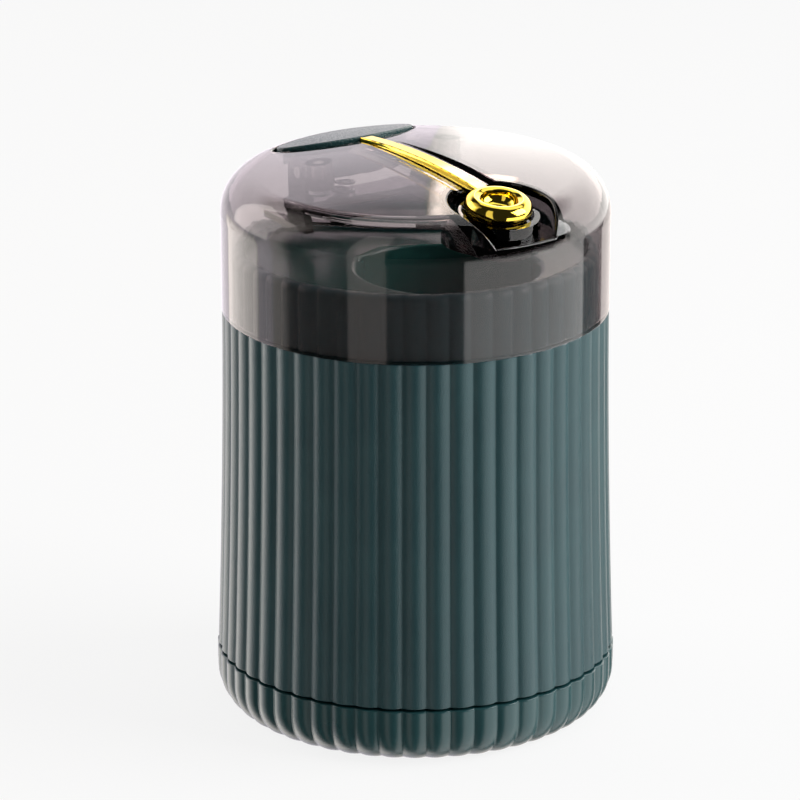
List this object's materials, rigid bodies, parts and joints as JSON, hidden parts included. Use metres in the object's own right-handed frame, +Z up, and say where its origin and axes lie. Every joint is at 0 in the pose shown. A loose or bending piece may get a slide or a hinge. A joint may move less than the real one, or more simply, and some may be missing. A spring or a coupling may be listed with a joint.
{
  "type": "toothpick dispenser",
  "caption": "Round ribbed toothpick canister with a lift-off smoked dome lid, whose rear finger pad rocks a gold lever so that the ring at its front lifts a pick.",
  "frame": {"origin": "centre of the base, on the surface it stands on", "axes": "+Z up along the canister's axis; the ring is at the front, -Y; the finger pad at the rear, +Y"},
  "size_m": [0.06, 0.06, 0.085],
  "materials": {
    "frosted_green": "frosted, sparkling grain",
    "satin_green": "satin",
    "dark_green": "smooth",
    "grained_green": "leather grain",
    "smoked_clear": "polished, smoked clear",
    "smoked_dark": "polished, dark smoke",
    "gold": "bright gold plate",
    "steel": "zinc plated"
  },
  "bodies": {
    "canister": {"body_shell": "frosted_green", "base_cap": "satin_green", "pick_magazine": "dark_green"},
    "lid": {"lid_shell": "smoked_clear", "outlet_spout": "smoked_dark", "lever_bracket": "smoked_dark", "bracket_screws": "steel", "pivot_pin": "steel", "return_spring": "steel"},
    "lever": {"rocker": "dark_green", "press_pad": "grained_green", "pick_lever": "gold", "pad_screws": "steel"}
  },
  "joints": [
    {"name": "lid_lift", "type": "slide", "parent": "canister", "child": "lid", "axis": [0, 0, 1], "range_m": [0, 0.03]},
    {"name": "lever_press", "type": "hinge", "parent": "lid", "child": "lever", "pos_m": [0, 0.0132, 0.0799], "axis": [-1, 0, 0], "range_deg": [0, 18], "stiffness_Nm_per_rad": 0.04, "springref_deg": -8.59, "deforming": ["return_spring"]}
  ]
}
